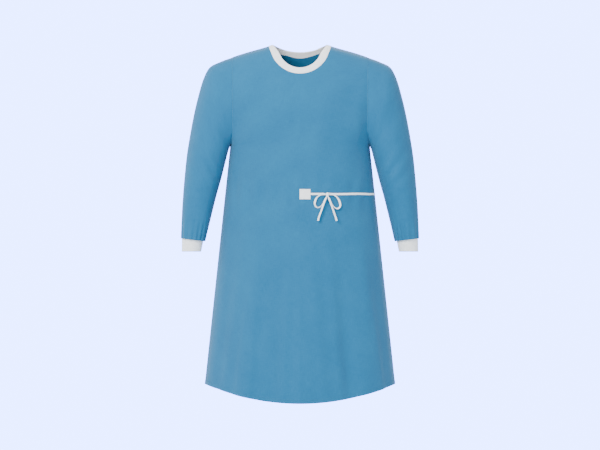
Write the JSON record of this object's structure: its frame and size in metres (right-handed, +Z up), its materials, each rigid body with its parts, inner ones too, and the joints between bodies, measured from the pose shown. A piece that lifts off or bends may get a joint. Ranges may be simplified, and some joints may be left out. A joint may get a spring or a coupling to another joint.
{
  "type": "patient gown",
  "caption": "Long-sleeved wrap-back hospital gown, worn shape: hollow body, set-in sleeves, knit cuffs and neckband, waist tie with a bow.",
  "frame": {"origin": "middle of the neck opening, level with the highest points of the neckband", "axes": "+Z up, +X towards the wearer's left, the wearer faces -Y"},
  "size_m": [0.796, 0.3978, 1.2032],
  "materials": {
    "gown_cloth": "matte woven polycotton, mid blue",
    "rib_knit": "white rib knit",
    "white_tape": "white woven tape",
    "white_patch": "white woven patch",
    "hook_strip": "white hook strip",
    "loop_strip": "white loop strip"
  },
  "bodies": {
    "root": {"front_panel": "gown_cloth", "back_panel_right": "gown_cloth", "back_panel_left": "gown_cloth", "left_sleeve_cap": "gown_cloth", "right_sleeve_cap": "gown_cloth", "neckband_front": "rib_knit", "neckband_back_right": "rib_knit", "neckband_back_left": "rib_knit", "neck_loop_pad": "loop_strip", "tie_patch": "white_patch", "front_tie": "white_tape", "waist_belt": "white_tape", "belt_patch": "white_patch", "inner_tie_patch_left": "white_patch", "inner_tie_patch_right": "white_patch", "tie_knot": "white_tape"},
    "left_upper_arm": {"left_upper_sleeve": "gown_cloth", "left_elbow_section": "gown_cloth"},
    "left_forearm": {"left_lower_sleeve": "gown_cloth", "left_cuff": "rib_knit"},
    "right_upper_arm": {"right_upper_sleeve": "gown_cloth", "right_elbow_section": "gown_cloth"},
    "right_forearm": {"right_lower_sleeve": "gown_cloth", "right_cuff": "rib_knit"},
    "vent_flap": {"back_flap": "gown_cloth"},
    "hook_tab": {"neck_tab": "hook_strip"},
    "left_bow": {"bow_loop_left": "white_tape", "bow_tail_left": "white_tape"},
    "right_bow": {"bow_loop_right": "white_tape", "bow_tail_right": "white_tape"}
  },
  "joints": [
    {"name": "left_sleeve_swing", "type": "hinge", "parent": "root", "child": "left_upper_arm", "pos_m": [0.303, 0, -0.33], "axis": [-1, 0, 0], "range_deg": [-10, 30], "deforming": ["left_sleeve_cap"]},
    {"name": "left_elbow_bend", "type": "hinge", "parent": "left_upper_arm", "child": "left_forearm", "pos_m": [0.328, 0, -0.465], "axis": [-0.9903, 0, -0.1392], "range_deg": [0, 80], "deforming": ["left_elbow_section"]},
    {"name": "right_sleeve_swing", "type": "hinge", "parent": "root", "child": "right_upper_arm", "pos_m": [-0.303, 0, -0.33], "axis": [-1, 0, 0], "range_deg": [-10, 30], "deforming": ["right_sleeve_cap"]},
    {"name": "right_elbow_bend", "type": "hinge", "parent": "right_upper_arm", "child": "right_forearm", "pos_m": [-0.328, 0, -0.465], "axis": [-0.9903, 0, 0.1392], "range_deg": [0, 80], "deforming": ["right_elbow_section"]},
    {"name": "vent_flap_open", "type": "hinge", "parent": "root", "child": "vent_flap", "pos_m": [0.085, 0.14739, -0.525], "axis": [0.1833, -0.0827, 0.9796], "range_deg": [0, 50]},
    {"name": "neck_tab_peel", "type": "hinge", "parent": "root", "child": "hook_tab", "pos_m": [0.0575, 0.0699, -0.0194], "axis": [0, -0.53, 0.848], "range_deg": [0, 75]},
    {"name": "left_bow_swing", "type": "hinge", "parent": "root", "child": "left_bow", "pos_m": [0.0912, -0.1405, -0.5], "axis": [-0.9588, -0.284, 0], "range_deg": [0, 60]},
    {"name": "right_bow_swing", "type": "hinge", "parent": "root", "child": "right_bow", "pos_m": [0.0912, -0.1405, -0.5], "axis": [-0.9849, -0.173, 0], "range_deg": [0, 60]}
  ]
}
